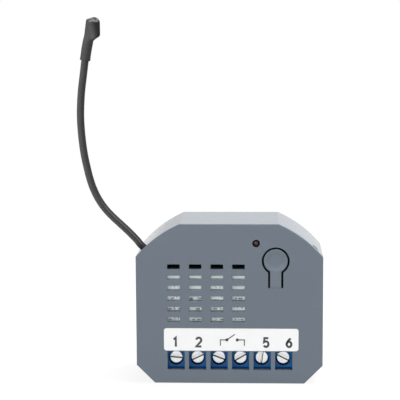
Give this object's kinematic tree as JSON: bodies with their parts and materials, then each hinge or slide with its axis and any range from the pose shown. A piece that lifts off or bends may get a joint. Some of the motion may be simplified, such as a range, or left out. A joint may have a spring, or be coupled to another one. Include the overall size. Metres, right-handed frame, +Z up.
{
  "type": "smart relay module",
  "caption": "Flush-mount smart relay module: grey plastic housing with vent slots, push button, indicator, row of screw terminals and a flexible wire antenna.",
  "frame": {"origin": "middle of the housing's bottom face, halfway between front and back", "axes": "+X to the right seen from the front, +Y from the front face towards the back, +Z up"},
  "size_m": [0.0565, 0.02, 0.0849],
  "materials": {
    "housing_grey": "fine moulded grain, satin",
    "label_white": "smooth printed label",
    "terminal_blue": "smooth moulded",
    "screw_zinc": "bright zinc plate, turned",
    "cage_zinc": "zinc plate",
    "bar_tin": "tinned",
    "tinned_lead": "tinned",
    "board_green": "solder mask",
    "lens_red": "dark tinted",
    "black_plastic": "moulded",
    "relay_pale": "moulded",
    "copper_wire": "enamelled",
    "soft_iron": "nickel plate",
    "contact_bronze": "plain",
    "shield_steel": "tin plate",
    "antenna_black": "smooth jacket",
    "sleeve_black": "shrunk sleeve",
    "capacitor_sleeve": "printed sleeve",
    "ferrite": "sintered",
    "film_amber": "boxed",
    "varistor_blue": "coated",
    "resistor_green": "coated"
  },
  "bodies": {
    "housing": {"front_cover": "housing_grey", "rear_case": "housing_grey", "terminal_label": "label_white", "pcb": "board_green", "status_led": "lens_red", "led_leads": "tinned_lead", "switch_body": "black_plastic", "switch_leads": "tinned_lead", "terminal_block_1": "terminal_blue", "terminal_block_2": "terminal_blue", "terminal_block_3": "terminal_blue", "contact_bar_1": "bar_tin", "contact_bar_2": "bar_tin", "contact_bar_3": "bar_tin", "contact_bar_4": "bar_tin", "contact_bar_5": "bar_tin", "contact_bar_6": "bar_tin", "relay_case": "relay_pale", "relay_base": "black_plastic", "relay_bobbin": "relay_pale", "relay_coil": "copper_wire", "relay_yoke": "soft_iron", "relay_fixed_contact": "contact_bronze", "relay_pins": "tinned_lead", "radio_board": "board_green", "radio_shield": "shield_steel", "antenna_tail": "antenna_black", "antenna_lead": "antenna_black", "antenna_cap": "sleeve_black", "mains_capacitor": "capacitor_sleeve", "output_capacitor": "capacitor_sleeve", "choke_core": "ferrite", "choke_winding": "copper_wire", "film_capacitor": "film_amber", "varistor": "varistor_blue", "fuse_resistor": "resistor_green", "power_chip": "black_plastic", "bridge_rectifier": "black_plastic", "small_chips": "black_plastic"},
    "button": {"button_tongue": "housing_grey"},
    "plunger": {"switch_plunger": "black_plastic"},
    "armature": {"relay_armature": "soft_iron", "relay_contact_spring": "contact_bronze"},
    "screw_1": {"terminal_screw_1": "screw_zinc"},
    "cage_1": {"wire_cage_1": "cage_zinc"},
    "screw_2": {"terminal_screw_2": "screw_zinc"},
    "cage_2": {"wire_cage_2": "cage_zinc"},
    "screw_3": {"terminal_screw_3": "screw_zinc"},
    "cage_3": {"wire_cage_3": "cage_zinc"},
    "screw_4": {"terminal_screw_4": "screw_zinc"},
    "cage_4": {"wire_cage_4": "cage_zinc"},
    "screw_5": {"terminal_screw_5": "screw_zinc"},
    "cage_5": {"wire_cage_5": "cage_zinc"},
    "screw_6": {"terminal_screw_6": "screw_zinc"},
    "cage_6": {"wire_cage_6": "cage_zinc"}
  },
  "joints": [
    {"name": "button_press", "type": "hinge", "parent": "housing", "child": "button", "pos_m": [0.0107, -0.0084, 0.0226], "axis": [-1, 0, 0], "range_deg": [0, 3.5], "stiffness_Nm_per_rad": 0.001},
    {"name": "switch_press", "type": "slide", "parent": "housing", "child": "plunger", "axis": [0, 1, 0], "range_m": [0, 0.0003], "stiffness_N_per_m": 25},
    {"name": "armature_pull", "type": "hinge", "parent": "housing", "child": "armature", "pos_m": [0.00045, 0.0002, 0.0198], "axis": [0, 0, -1], "range_deg": [0, 4.5], "stiffness_Nm_per_rad": 0.05},
    {"name": "screw_turn_1", "type": "hinge", "parent": "housing", "child": "screw_1", "pos_m": [-0.0125, -0.0073, 0.0056], "axis": [0, 1, 0], "range_deg": [0, 1081]},
    {"name": "cage_rise_1", "type": "slide", "parent": "housing", "child": "cage_1", "axis": [0, -1, 0], "range_m": [0, 0.00135]},
    {"name": "screw_turn_2", "type": "hinge", "parent": "housing", "child": "screw_2", "pos_m": [-0.0075, -0.0073, 0.0056], "axis": [0, 1, 0], "range_deg": [0, 1081]},
    {"name": "cage_rise_2", "type": "slide", "parent": "housing", "child": "cage_2", "axis": [0, -1, 0], "range_m": [0, 0.00135]},
    {"name": "screw_turn_3", "type": "hinge", "parent": "housing", "child": "screw_3", "pos_m": [-0.0025, -0.0073, 0.0056], "axis": [0, 1, 0], "range_deg": [0, 1081]},
    {"name": "cage_rise_3", "type": "slide", "parent": "housing", "child": "cage_3", "axis": [0, -1, 0], "range_m": [0, 0.00135]},
    {"name": "screw_turn_4", "type": "hinge", "parent": "housing", "child": "screw_4", "pos_m": [0.0025, -0.0073, 0.0056], "axis": [0, 1, 0], "range_deg": [0, 1081]},
    {"name": "cage_rise_4", "type": "slide", "parent": "housing", "child": "cage_4", "axis": [0, -1, 0], "range_m": [0, 0.00135]},
    {"name": "screw_turn_5", "type": "hinge", "parent": "housing", "child": "screw_5", "pos_m": [0.0075, -0.0073, 0.0056], "axis": [0, 1, 0], "range_deg": [0, 1081]},
    {"name": "cage_rise_5", "type": "slide", "parent": "housing", "child": "cage_5", "axis": [0, -1, 0], "range_m": [0, 0.00135]},
    {"name": "screw_turn_6", "type": "hinge", "parent": "housing", "child": "screw_6", "pos_m": [0.0125, -0.0073, 0.0056], "axis": [0, 1, 0], "range_deg": [0, 1081]},
    {"name": "cage_rise_6", "type": "slide", "parent": "housing", "child": "cage_6", "axis": [0, -1, 0], "range_m": [0, 0.00135]}
  ],
  "couplings": [
    {"joint": "button_press", "follows": "switch_press", "rad_per_m": 174.53},
    {"joint": "screw_turn_1", "follows": "cage_rise_1", "rad_per_m": 13963},
    {"joint": "screw_turn_2", "follows": "cage_rise_2", "rad_per_m": 13963},
    {"joint": "screw_turn_3", "follows": "cage_rise_3", "rad_per_m": 13963},
    {"joint": "screw_turn_4", "follows": "cage_rise_4", "rad_per_m": 13963},
    {"joint": "screw_turn_5", "follows": "cage_rise_5", "rad_per_m": 13963},
    {"joint": "screw_turn_6", "follows": "cage_rise_6", "rad_per_m": 13963}
  ]
}
